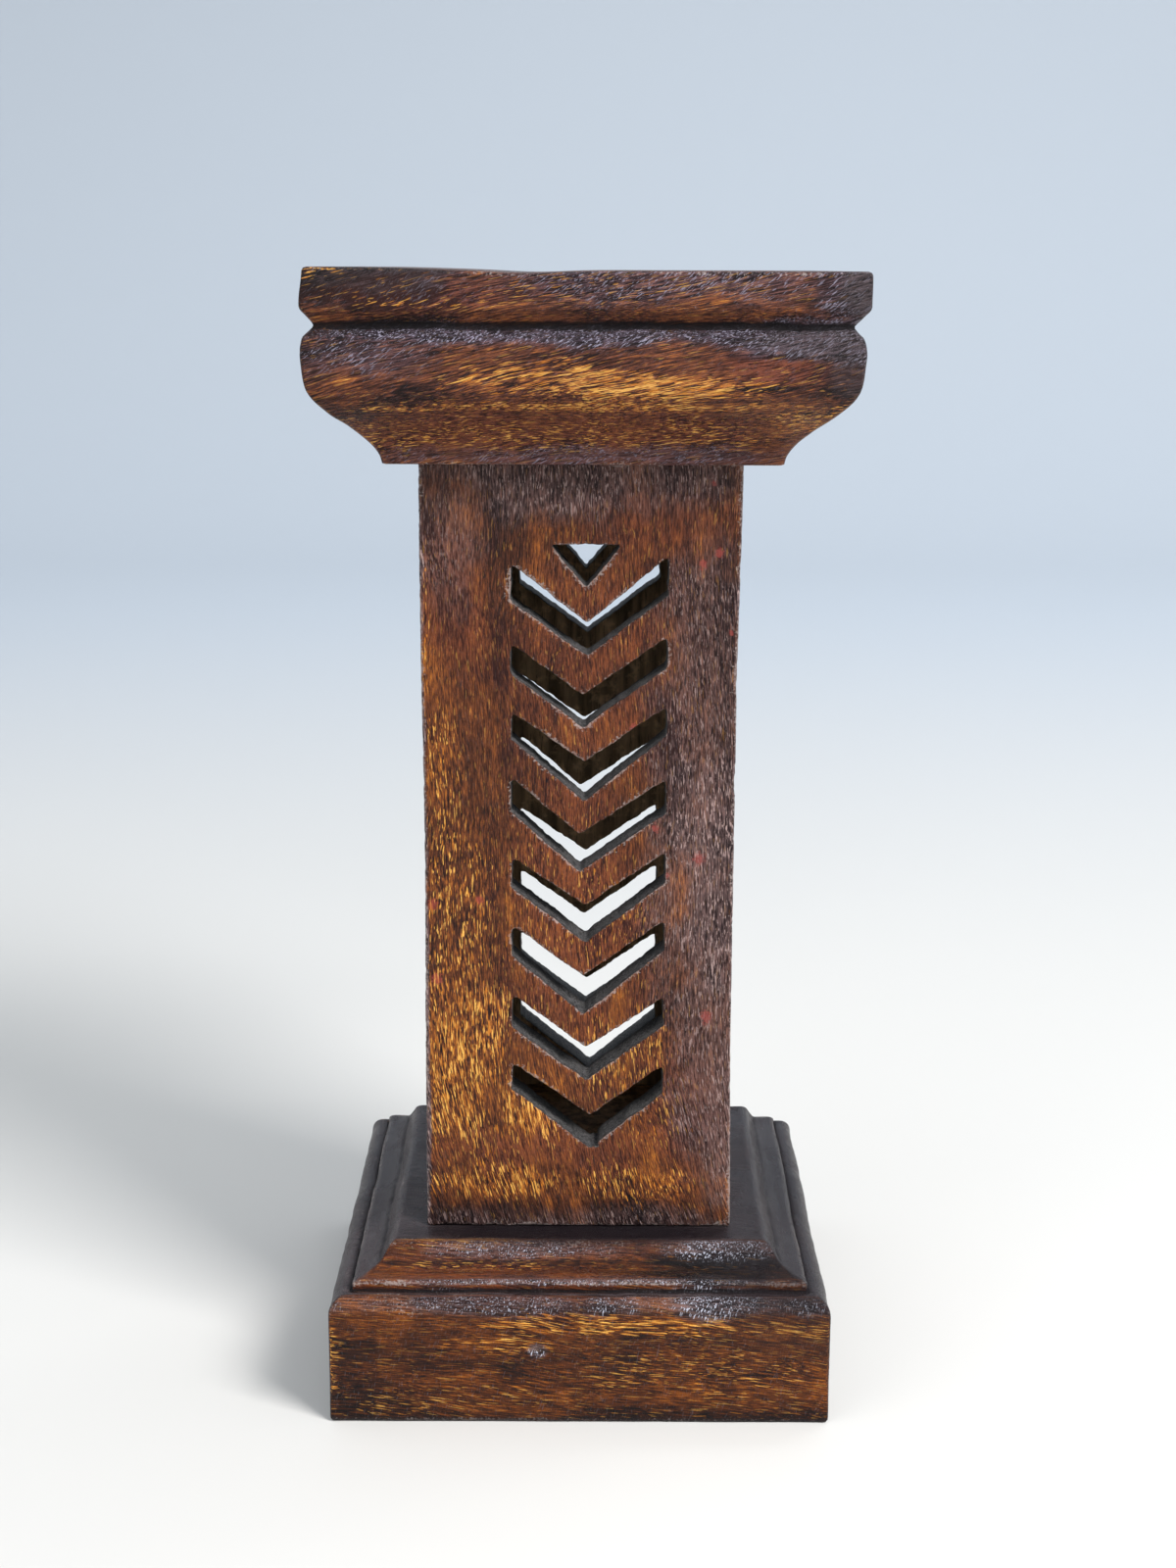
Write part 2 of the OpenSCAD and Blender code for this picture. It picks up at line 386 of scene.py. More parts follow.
# A saw's overrun beside the lowest chevron's apex
KERF_X, KERF_DEPTH = 4.3, 1.3
# Distances in mm between a panel's points: round its edge and its slots, and on its two faces
EDGE_STEP = 0.9
SLOT_STEP = 0.55
OUTSIDE_STEP, INSIDE_STEP = 1.2, 2.5
# How far the worn arrises are rounded, in mm: a broad panel's, a narrow one's and a slot's
BROAD_ARRIS, NARROW_ARRIS, SLOT_ARRIS = 0.75, 0.25, 0.34
# The gap between a panel and its neighbours
GLUE_GAP = 0.06


def waist(u, z):
    """How far the column's faces have been planed in at a height above its foot, in mm."""
    left = 0.5 * math.e ** (-((z - 105) / 40) ** 2)
    right = 0.5 + 0.7 * step(z, 0, 60) * step(COLUMN_H - z, 0, 60)
    return np.where(u < 0, left, right)


def slot_outlines(drops, seed):
    """The outlines of the triangle and the chevrons, hand-cut, as counter-clockwise loops."""
    left, right = CHEVRON_ENDS
    shapes = []
    for apex_z, apex_x, rise_l, rise_r, gap, end_l, end_r in CHEVRONS:
        corners = [(apex_x, apex_z), (right, apex_z + rise_r), (right, apex_z + rise_r + end_r),
                   (apex_x, apex_z + gap), (left, apex_z + rise_l + end_l),
                   (left, apex_z + rise_l)]
        shapes.append(rounded(corners, (0.9, 0.9, 1.1, 0.5, 1.3, 0.9)))
    shapes.append(rounded(TRIANGLE, (0.8, 0.9, 0.9)))
    loops = []
    for k, shape in enumerate(shapes):
        loop = resampled(shape, SLOT_STEP)
        at = np.column_stack([loop, np.full(len(loop), seed * 40 + k * 9)])
        ragged = 0.24 * wobble(at, 6, seed) + 0.20 * wobble(at, 1.3, seed + 1)
        if k == 0 and not drops[k]:
            low = loop[:, 1] < CHEVRONS[0][0] + 4
            ragged = ragged + low * KERF_DEPTH * np.exp(-((loop[:, 0] - KERF_X) / 0.4) ** 2)
        loops.append(loop + outward(loop) * (ragged - 0.2)[:, None] - np.array([0, drops[k]]))
    return loops


def panel_mesh(outline, holes, thick, arris, seed):
    """A board with cut-outs, in its own plane: points (across, height, depth), faces and slots.
    Slot 0 is the finished outside, 1 the cut faces of the holes and 2 the raw inside."""
    # Rows of points through the thickness, and the share of the arris that each gives way
    depths = [0.0, 0.14, 0.55, 2.2, 4.4, 6.6, 8.6, thick - 0.3, thick]
    shares = [1.0, 0.3, 0.0, 0.0, 0.0, 0.0, 0.0, 0.0, 0.35]
    points, faces, slots = [], [], []
    outer_rims, inner_rims, starts = [], [], []
    total = 0
    for k, loop in enumerate([outline] + holes):
        normal = outward(loop)
        at = np.column_stack([loop, np.full(len(loop), seed + k * 5.0)])
        worn = 1 + 0.8 * np.clip(wobble(at, 4, seed + 2, 4), -0.8, 1)
        size = (-arris if k == 0 else SLOT_ARRIS) * worn
        count = len(loop)
        rows = []
        for depth, share in zip(depths, shares):
            rough = wobble(at + np.array([0, 0, depth * 3]), 2.0, seed + 3) * 0.1 * (k > 0)
            place = loop + normal * (size * share + rough * (share == 0))[:, None]
            sunk = depth * np.where(depth < 1, worn, 1) if k == 0 else np.full(count, depth)
            rows.append(np.column_stack([place, sunk + np.zeros(count)]))
        outer_rims.append(rows[0][:, :2])
        inner_rims.append(rows[-1][:, :2])
        starts.append(total)
        points += rows
        for row in range(len(rows) - 1):
            faces += strip(total + row * count, total + (row + 1) * count, count, k == 0)
            slots += [0 if k == 0 or row < 1 else 1] * count
        total += count * len(rows)
    for rims, layer, flip, slot, spacing in (
            (outer_rims, 0, False, 0, OUTSIDE_STEP),
            (inner_rims, len(depths) - 1, True, 2, INSIDE_STEP)):
        flat, triangles = filled(rims, spacing)
        owner = np.concatenate([start + layer * len(rim) + np.arange(len(rim))
                                for start, rim in zip(starts, rims)])
        inner = flat[len(owner):]
        points.append(np.column_stack([inner, np.full(len(inner), depths[layer])]))
        owner = np.concatenate([owner, total + np.arange(len(inner))])
        total += len(inner)
        for triangle in triangles:
            face = [int(owner[j]) for j in triangle]
            faces.append(face[::-1] if flip else face)
        slots += [slot] * len(triangles)
    return np.vstack(points), faces, slots


def column_panel(name, turn, width, holes, finishes, seed):
    """One board of the column. turn is its quarter turns from the front, counter-clockwise.
    The front and back are broad, and the sides fit between them."""
    broad = turn in (0, 2)
    half, low, high = width / 2 - GLUE_GAP, GLUE_GAP, COLUMN_H - GLUE_GAP
    corners = [(-half, low), (half, low), (half, high), (-half, high)]
    outline = resampled(np.array(corners), EDGE_STEP)
    arris = BROAD_ARRIS if broad else NARROW_ARRIS
    flat, faces, slots = panel_mesh(outline, holes, PANEL_T, arris, seed)
    u, z, depth = flat.T
    outside = 1 - depth / PANEL_T
    surface = np.column_stack([u, np.full(len(u), seed * 30.0), z])
    # The outside is a little hollow and uneven, and its long edges are ragged and planed in
    hollow = 0.16 + 0.16 * wobble(surface, 20, seed + 5) + 0.04 * wobble(surface, 3, seed + 6)
    depth = depth + hollow * outside
    if broad:
        ragged = 0.3 * np.clip(wobble(surface, 3.2, seed + 7, 4), 0, 1)
        edge = step(np.abs(u), COLUMN_HALF - 6, COLUMN_HALF - 1)
        u = u - np.sign(u) * (waist(u, z) + ragged) * edge
        z = z + 0.12 * wobble(surface, 4, seed + 8) * step(np.abs(z - COLUMN_H / 2), 100, 103.4)
    else:
        side = np.full(len(u), 1.0 if turn == 1 else -1.0)
        depth = depth + (waist(side, z) - 0.1) * outside
    z = np.clip(z, 0.02, COLUMN_H - 0.02)
    x, y = u, -COLUMN_HALF + depth
    if turn == 2:
        y = -y
        faces = [face[::-1] for face in faces]
    if turn in (1, 3):
        x, y = (-y, u) if turn == 1 else (y, -u)
    points = np.column_stack([x, y, z + FOOT_Z])
    return make_piece(name, points, faces, finishes, slots, rounds=8, reach=0.32)


# ---------------------------------------------------------------- materials

# A patch is at full strength out to its core, and gone at its end, in half sizes
PATCH_CORE, PATCH_END = 0.45, 1.25


class Shader:
    """One material and the small helpers that wire its nodes."""

    def __init__(self, name):
        self.material = bpy.data.materials.new(name)
        self.material.use_nodes = True
        self.tree = self.material.node_tree
        self.surface = self.tree.nodes["Principled BSDF"]
        coordinates = self.node("ShaderNodeTexCoord")
        self.place = self.scaled(coordinates.outputs["Object"], (1 / MM,) * 3)
        self.share = coordinates.outputs["Generated"]
        self.normal = self.node("ShaderNodeNewGeometry").outputs["Normal"]
        attribute = self.node("ShaderNodeAttribute")
        attribute.attribute_name = "relief"
        self.relief = attribute.outputs["Fac"]

    def node(self, kind, **settings):
        made = self.tree.nodes.new(kind)
        for key, value in settings.items():
            setattr(made, key, value)
        return made

    def feed(self, socket, value):
        if isinstance(value, bpy.types.NodeSocket):
            self.tree.links.new(value, socket)
        elif isinstance(value, tuple) and len(value) == 3 and socket.type == "RGBA":
            socket.default_value = (*value, 1)
        else:
            socket.default_value = value

    def maths(self, operation, a, b=0.0, c=0.0, clamp=False):
        made = self.node("ShaderNodeMath", operation=operation, use_clamp=clamp)
        for socket, value in zip(made.inputs, (a, b, c)):
            self.feed(socket, value)
        return made.outputs[0]

    def about_zero(self, noise_value, gain):
        """A 0 to 1 noise value moved to run about zero, times gain."""
        return self.maths("MULTIPLY_ADD", noise_value, gain, -gain / 2)

    def total(self, *values):
        result = values[0]
        for value in values[1:]:
            result = self.maths("ADD", result, value)
        return result

    def ramp(self, value, tones):
        made = self.node("ShaderNodeValToRGB")
        stops = made.color_ramp.elements
        while len(stops) < len(tones):
            stops.new(0.5)
        for stop, (position, colour) in zip(stops, tones):
            stop.position = position
            stop.color = (*colour, 1)
        self.feed(made.inputs[0], value)
        return made.outputs[0]

    def vector(self, operation, a, b=(0, 0, 0)):
        made = self.node("ShaderNodeVectorMath", operation=operation)
        self.feed(made.inputs[0], a)
        self.feed(made.inputs[1], b)
        return made.outputs["Value" if operation in ("LENGTH", "DOT_PRODUCT") else "Vector"]

    def scaled(self, vector, by):
        return self.vector("MULTIPLY", vector, by)

    def turned(self, vector, degrees):
        """A vector turned about Y, so that a pattern slants on the front."""
        if not degrees:
            return vector
        made = self.node("ShaderNodeVectorRotate", rotation_type="Y_AXIS")
        made.inputs["Angle"].default_value = math.radians(degrees)
        self.feed(made.inputs["Vector"], vector)
        return made.outputs[0]

    def noise(self, vector, detail=2.0, roughness=0.5, distortion=0.0, colour=False):
        made = self.node("ShaderNodeTexNoise")
        self.feed(made.inputs["Vector"], vector)
        made.inputs["Scale"].default_value = 1.0
        made.inputs["Detail"].default_value = detail
        made.inputs["Roughness"].default_value = roughness
        made.inputs["Distortion"].default_value = distortion
        return made.outputs["Color" if colour else "Fac"]

    def step(self, value, low, high, start=0.0, end=1.0):
        """Smooth step of a value, from start at low to end at high."""
        made = self.node("ShaderNodeMapRange", interpolation_type="SMOOTHSTEP")
        for socket, number in zip(made.inputs, (value, low, high, start, end)):
            self.feed(socket, number)
        return made.outputs[0]

    def mix(self, share, a, b, blend="MIX"):
        made = self.node("ShaderNodeMix", data_type="RGBA", blend_type=blend)
        self.feed(made.inputs[0], share)
        self.feed(made.inputs[6], a)
        self.feed(made.inputs[7], b)
        return made.outputs[2]

    def axis(self, vector, name):
        made = self.node("ShaderNodeSeparateXYZ")
        self.feed(made.inputs[0], vector)
        return made.outputs[name]

    def times(self, *values):
        product = values[0]
        for value in values[1:]:
            product = self.maths("MULTIPLY", product, value)
        return product

    def largest(self, values):
        result = values[0]
        for value in values[1:]:
            result = self.maths("MAXIMUM", result, value)
        return result

    def patches(self, spots, ragged):
        """A mask of soft-edged patches. Each spot is its centre and half sizes as shares of the
        piece's box, and its strength. A half size of 0 sets no limit that way, because a
        divide node gives 0 for it. ragged is noise that frays the patches' edges."""
        masks = []
        for centre, size, strength in spots:
            offset = self.vector("SUBTRACT", self.share, centre)
            spread = self.vector("DIVIDE", offset, size)
            away = self.maths("ADD", self.vector("LENGTH", spread), ragged)
            masks.append(self.step(away, PATCH_END, PATCH_CORE, 0.0, strength))
        return self.largest(masks)

    def finish(self, colour, roughness, height, distance, strength=1.0, specular=0.5):
        self.feed(self.surface.inputs["Base Color"], colour)
        self.feed(self.surface.inputs["Roughness"], roughness)
        self.surface.inputs["Specular IOR Level"].default_value = specular
        bump = self.node("ShaderNodeBump")
        bump.inputs["Strength"].default_value = strength
        bump.inputs["Distance"].default_value = distance * MM
        self.feed(bump.inputs["Height"], height)
        self.feed(self.surface.inputs["Normal"], bump.outputs[0])
        return self.material


# Colours, as linear RGB. The stain runs from pores full of it to wood worn bare.
STAIN_TONES = [
    (0.00, (0.003, 0.002, 0.002)),
    (0.22, (0.014, 0.005, 0.004)),
    (0.40, (0.050, 0.014, 0.005)),
    (0.56, (0.122, 0.032, 0.007)),
    (0.71, (0.260, 0.074, 0.009)),
    (0.86, (0.490, 0.165, 0.013)),
    (1.00, (0.850, 0.440, 0.095)),
]
DEEP_RED = (0.036, 0.009, 0.006)
RED_STAIN = (0.185, 0.047, 0.015)
ORANGE_WOOD = (0.52, 0.165, 0.014)
BARE_WOOD = (0.86, 0.45, 0.09)
# Varnish film colours: the lighter ones are bloom and painted sheen. Glint colours are painted
# highlights.
DEEP_VARNISH = (0.010, 0.006, 0.008)
GREY_BLOOM_AND_SHEEN = (0.140, 0.102, 0.107)
DARK_BLOOM_AND_SHEEN = (0.078, 0.062, 0.088)
GLINT = (0.55, 0.56, 0.66)
DIM_GLINT = (0.26, 0.240, 0.310)
WARM_GLINT = (0.40, 0.28, 0.26)
# Pale edges: wood rubbed bare, with a painted highlight along the arrises
PALE_EDGE = (0.36, 0.30, 0.28)
# Near black: stain in the pores, and the darkened hollows
NEAR_BLACK = (0.004, 0.003, 0.004)
# Painted shade on the base: in front of the column's foot, on its right side and along its foot
PAINTED_SHADE = (0.009, 0.006, 0.008)
DARK_ASH = (0.009, 0.007, 0.008)
PALE_ASH = (0.078, 0.060, 0.064)
PAINT = (0.36, 0.060, 0.050)
# The height above the column's foot, in mm, where its front grain starts to sweep aside
SWEEP_HEIGHT = 62


def stretched(grain, across, along):
    """Scales that turn mm into noise cells across mm wide and along mm long with the grain."""
    return tuple(1 / along if axis == grain else 1 / across for axis in "xyz")


class Grain:
    """The noise patterns of one board. axis is the way that the grain runs, lean its slope,
    sweep how far it bends near the foot, hatch the angle in degrees between it and the
    varnish's wrinkles, fine the size of its thinnest lines and flow how long they are."""

    def __init__(self, s, axis, seed, lean, sweep, hatch, fine, flow):
        self.upright = s.step(s.axis(s.normal, "Z"), 0.90, 0.97, 1.0, 0.0)
        at = self.straightened(s, axis, seed, lean, sweep)

        def streaks(across, along, detail, roughness):
            cell = stretched(axis, across * fine, along * fine * flow)
            return s.noise(s.scaled(at, cell), detail, roughness)

        self.figure = s.noise(s.scaled(at, stretched(axis, 5.5, 60)), 3, 0.55)
        self.clouds = s.noise(s.scaled(at, (1 / 21,) * 3), 3, 0.55)
        self.strands = streaks(0.85, 9, 2, 0.6)
        self.fibres = streaks(0.46, 4.6, 3, 0.62)
        self.hairs = streaks(0.46, 4.2, 1, 0.5)
        self.pores = streaks(0.40, 3.2, 2, 0.5)
        wrinkle = stretched(axis, 0.36, 2.0 if hatch else 2.6)
        self.wrinkles = s.noise(s.scaled(s.turned(at, hatch), wrinkle), 2, 0.6)
        self.grit = s.noise(s.scaled(at, (1 / 0.7,) * 3), 3, 0.6)
        # Noise about zero that frays the edges of patches, evenly or along the grain
        self.ragged = s.about_zero(self.clouds, 2.2)
        self.streaky = s.total(self.ragged, s.about_zero(self.figure, 1.4),
                               s.about_zero(self.strands, 0.9))

    def straightened(self, s, axis, seed, lean, sweep):
        """Coordinates in mm in which the bent and sloping grain runs straight."""
        at = s.vector("ADD", s.place, (seed * 31.0, seed * 17.0, seed * 23.0))
        drift = s.noise(s.scaled(at, stretched(axis, 28, 70)), 2, colour=True)
        bend = tuple(0.0 if way == axis else 9.0 for way in "xyz")
        at = s.vector("ADD", at, s.scaled(s.vector("SUBTRACT", drift, (0.5, 0.5, 0.5)), bend))
        aside = s.times(s.axis(at, axis.upper()), self.upright, lean)
        if sweep:
            below = s.maths("SUBTRACT", FOOT_Z + SWEEP_HEIGHT, s.axis(s.place, "Z"))
            below = s.maths("MAXIMUM", below, 0.0)
            aside = s.maths("SUBTRACT", aside, s.times(below, below, sweep))
        slope = s.node("ShaderNodeCombineXYZ")
        s.feed(slope.inputs["Z" if axis == "x" else "X"], aside)
        return s.vector("ADD", at, slope.outputs[0])


def worn_stain(s, g, crisp, gold, gold_floor, dark, red):
    """The stain's colour and tone: how far it has worn, place by place and fibre by fibre."""
    worn = s.patches(gold, g.streaky) if gold else 0.0
    worn = s.maths("ADD", worn, gold_floor)
    sharp = s.maths("MULTIPLY_ADD", worn, 1.2, crisp)
    tone = s.maths("MULTIPLY", s.about_zero(g.fibres, 1.0), sharp)
    tone = s.maths("ADD", tone, s.maths("MULTIPLY", s.about_zero(g.strands, 0.27), sharp))
    tone = s.total(tone, s.about_zero(g.figure, 0.55), s.about_zero(g.clouds, 0.55),
                   s.times(worn, 0.14), 0.44)
    if dark:
        tone = s.maths("SUBTRACT", tone, s.patches(dark, g.streaky))
    colour = s.ramp(tone, STAIN_TONES)
    if red:
        reds = s.mix(s.step(tone, 0.25, 0.62), DEEP_RED, RED_STAIN)
        colour = s.mix(s.patches(red, g.streaky), colour, reds)
    bare = s.total(g.hairs, s.times(worn, 0.095), s.about_zero(g.strands, 0.20))
    bare = s.step(bare, 0.645, 0.705)
    bare = s.times(bare, s.step(worn, 0, 0.6, 0.24, 0.95))
    bare_wood = s.mix(s.step(g.strands, 0.4, 0.6), ORANGE_WOOD, BARE_WOOD)
    colour = s.mix(bare, colour, bare_wood)
    return s.mix(s.step(g.pores, 0.40, 0.31, 0, 0.85), colour, NEAR_BLACK), tone


def bloom_and_painted_sheen(s, g, colour, tone, grey, grey_floor, bloom, sparkle):
    """Adds a varnish film that is bloom and painted sheen, from dark to the colour bloom, with
    flecks of sparkle that are painted glints.
    """
    # The film is bloomed varnish and painted sheen, less on faces that look up
    bloom_and_sheen = s.maths("ADD", s.patches(grey, g.ragged) if grey else 0.0, grey_floor, clamp=True)
    bloom_and_sheen = s.times(bloom_and_sheen, s.maths("MULTIPLY_ADD", g.upright, 0.75, 0.25))
    film_lightness = s.maths("MULTIPLY_ADD", g.fibres, 0.6, s.times(tone, 0.4))
    varnish = s.mix(s.step(film_lightness, 0.33, 0.62), DEEP_VARNISH, bloom)
    colour = s.mix(s.times(bloom_and_sheen, 0.85), colour, varnish)
    # Painted glints: highlights put into the colour along the varnish's wrinkles
    glints = s.step(s.maths("MULTIPLY_ADD", bloom_and_sheen, 0.05, g.wrinkles), 0.605, 0.675)
    return s.mix(s.times(glints, s.step(bloom_and_sheen, 0.1, 1.0, 0.05, 0.9)), colour, sparkle)


def charred(s, g, colour, charcoal, side_charcoal):
    """Adds charcoal patches, and charcoal on the block's left and right sides and top."""
    masks = [s.patches(charcoal, g.ragged)] if charcoal else []
    if side_charcoal:
        across = s.maths("ABSOLUTE", s.axis(s.normal, "X"))
        facing = s.maths("ABSOLUTE", s.axis(s.normal, "Y"))
        sideways = s.maths("SUBTRACT", across, facing)
        masks.append(s.step(sideways, 0.02, 0.12, 0, side_charcoal))
        masks.append(s.step(s.axis(s.normal, "Z"), 0.95, 0.99, 0, side_charcoal))
    if not masks:
        return colour
    ash = s.mix(s.step(g.fibres, 0.34, 0.64), DARK_ASH, PALE_ASH)
    return s.mix(s.largest(masks), colour, ash)


def handled(s, g, colour, edge_rub_and_highlight, shade_patches, specks):
    """Darkens the hollows towards near black, adds pale edges that are wood rubbed bare and a
    painted highlight, then patches of painted shade and specks of paint. Also returns where
    the hollows are darkened."""
    # Darkens the hollows towards near black, by their relief
    hollow_dark = s.maths("SUBTRACT", s.relief, s.maths("MULTIPLY", g.clouds, 0.2))
    hollow_dark = s.step(hollow_dark, -0.25, -0.7)
    colour = s.mix(s.maths("MULTIPLY", hollow_dark, 0.9), colour, NEAR_BLACK)
    # Pale edges where the relief is high: bare wood and a painted highlight
    edge_wear_and_highlight = s.total(s.relief, s.about_zero(g.grit, 2.6), s.about_zero(g.clouds, 2.0), edge_rub_and_highlight)
    colour = s.mix(s.step(edge_wear_and_highlight, 0.85, 1.35, 0, 0.6), colour, PALE_EDGE)
    # Painted shade patches
    if shade_patches:
        colour = s.mix(s.patches(shade_patches, s.about_zero(g.grit, 0.5)), colour, PAINTED_SHADE)
    if specks:
        colour = s.mix(s.patches(specks, s.about_zero(g.grit, 2.4)), colour, PAINT)
    return colour, hollow_dark


def stained_wood(name, grain, seed, lean=0.0, sweep=0.0, hatch=0.0, fine=1.0, flow=1.0,
                 crisp=1.05, bloom=GREY_BLOOM_AND_SHEEN, sparkle=GLINT, gold=(), gold_floor=0.0,
                 dark=(), red=(), grey=(), grey_floor=0.08, charcoal=(), side_charcoal=0.0,
                 edge_rub_and_highlight=0.0, shade_patches=(), specks=()):
    """Dark stained wood under worn varnish. grain to flow are as Grain takes them, and crisp is
    the contrast between its fibres. bloom is the colour of the varnish film, which is bloom and
    painted sheen, and sparkle the colour of its painted glints. gold, dark, red, grey, charcoal,
    the shade patches and specks are patches, as Shader.patches takes them; the grey patches are
    bloomed varnish and painted sheen with painted glints, and the shade patches painted shade.
    A floor is the least of its effect anywhere, and a higher edge rub shows more pale edge,
    which is bare wood and a painted highlight."""
    s = Shader(name)
    g = Grain(s, grain, seed, lean, sweep, hatch, fine, flow)
    colour, tone = worn_stain(s, g, crisp, gold, gold_floor, dark, red)
    colour = bloom_and_painted_sheen(s, g, colour, tone, grey, grey_floor, bloom, sparkle)
    colour = charred(s, g, colour, charcoal, side_charcoal)
    colour, hollow_dark = handled(s, g, colour, edge_rub_and_highlight, shade_patches, specks)
    roughness = s.total(s.step(g.clouds, 0.3, 0.7, 0.20, 0.34), s.times(hollow_dark, 0.3))
    height = s.total(s.times(g.fibres, 0.5), s.times(g.grit, 0.5), s.times(g.wrinkles, 0.8))
    return s.finish(colour, roughness, height, 0.5, 1.0, specular=0.15)


def cut_wood(name, seed):
    """The sawn faces of the slots: rough, smoke-dark end fibres with a paler bloom."""
    s = Shader(name)
    at = s.vector("ADD", s.place, (seed * 11.0, seed * 13.0, 0))
    saw = s.noise(s.scaled(at, (1 / 0.5, 1 / 5.0, 1 / 0.5)), 3, 0.6)
    grain = s.noise(s.scaled(at, (1 / 0.55, 1 / 0.55, 1 / 1.5)), 3, 0.65)
    bloom = s.noise(s.scaled(at, (1 / 5.0,) * 3), 3, 0.6)
    colour = s.mix(s.step(grain, 0.36, 0.64), (0.006, 0.006, 0.007), (0.125, 0.118, 0.118))
    colour = s.mix(s.step(bloom, 0.5, 0.72, 0, 0.4), colour, (0.13, 0.122, 0.112))
    colour = s.mix(s.step(s.relief, 0.25, 0.7, 0, 0.7), colour, (0.02, 0.016, 0.015))
    height = s.maths("ADD", s.times(saw, 0.6), s.times(grain, 0.6))
    return s.finish(colour, s.step(grain, 0.3, 0.7, 0.62, 0.85), height, 0.5, 0.9, specular=0.35)


def raw_wood(name, grain, seed, tone):
    """Unfinished sawn wood, dusty and darkened with age."""
    s = Shader(name)
    at = s.vector("ADD", s.place, (seed * 19.0, seed * 7.0, seed * 3.0))
    figure = s.noise(s.scaled(at, stretched(grain, 3.5, 40)), 3, 0.6)
    fibres = s.noise(s.scaled(at, stretched(grain, 0.5, 6)), 3, 0.65)
    dust = s.noise(s.scaled(at, (1 / 4.0,) * 3), 4, 0.65)
    dark = tuple(c * 0.3 for c in tone)
    colour = s.mix(s.step(figure, 0.3, 0.7), dark, tone)
    colour = s.mix(s.step(fibres, 0.46, 0.34, 0, 0.7), colour, tuple(c * 0.15 for c in tone))
    pale = tuple(min(1, c * 1.6 + 0.02) for c in tone)
    colour = s.mix(s.step(dust, 0.52, 0.68, 0, 0.6), colour, pale)
    height = s.maths("ADD", s.times(fibres, 0.7), s.times(dust, 0.3))
    return s.finish(colour, s.step(dust, 0.3, 0.7, 0.7, 0.9), height, 0.4, 0.8, specular=0.3)


def screw_steel():
    """Dull zinc plate with fine turning marks."""
    s = Shader("screw_steel")
    turned = s.noise(s.scaled(s.place, (0.6, 0.6, 6.0)), 3, 0.6)
    tarnish = s.noise(s.scaled(s.place, (0.5, 0.5, 0.5)), 3, 0.6)
    colour = s.mix(s.step(tarnish, 0.45, 0.65), (0.50, 0.49, 0.46), (0.24, 0.22, 0.20))
    s.surface.inputs["Metallic"].default_value = 1.0
    return s.finish(colour, s.step(tarnish, 0.3, 0.7, 0.3, 0.55), turned, 0.05, 0.6)


# ---------------------------------------------------------------- the pieces

def speck(across, up, size):
    """A paint speck on the front panel, at shares of its width and height, size in mm."""
    return ((across, 0.0, up), (0.7 * size / (2 * COLUMN_HALF), 0.6, 0.85 * size / COLUMN_H), 0.45)


FRONT_SPECKS = [speck(*spot) for spot in (
    (0.93, 0.89, 1.6), (0.88, 0.875, 1.5), (0.97, 0.79, 0.9), (0.67, 0.67, 1.5),
    (0.74, 0.54, 1.4), (0.88, 0.50, 2.2), (0.91, 0.29, 2.3), (0.03, 0.44, 2.0),
    (0.18, 0.445, 1.5), (0.04, 0.34, 2.0), (0.78, 0.478, 0.8), (0.91, 0.975, 0.9))]

cut = cut_wood("cut_wood", 1)
dusty = raw_wood("dusty_inside", "z", 2, (0.52, 0.37, 0.22))
unfinished = raw_wood("unfinished_wood", "z", 3, (0.42, 0.27, 0.15))

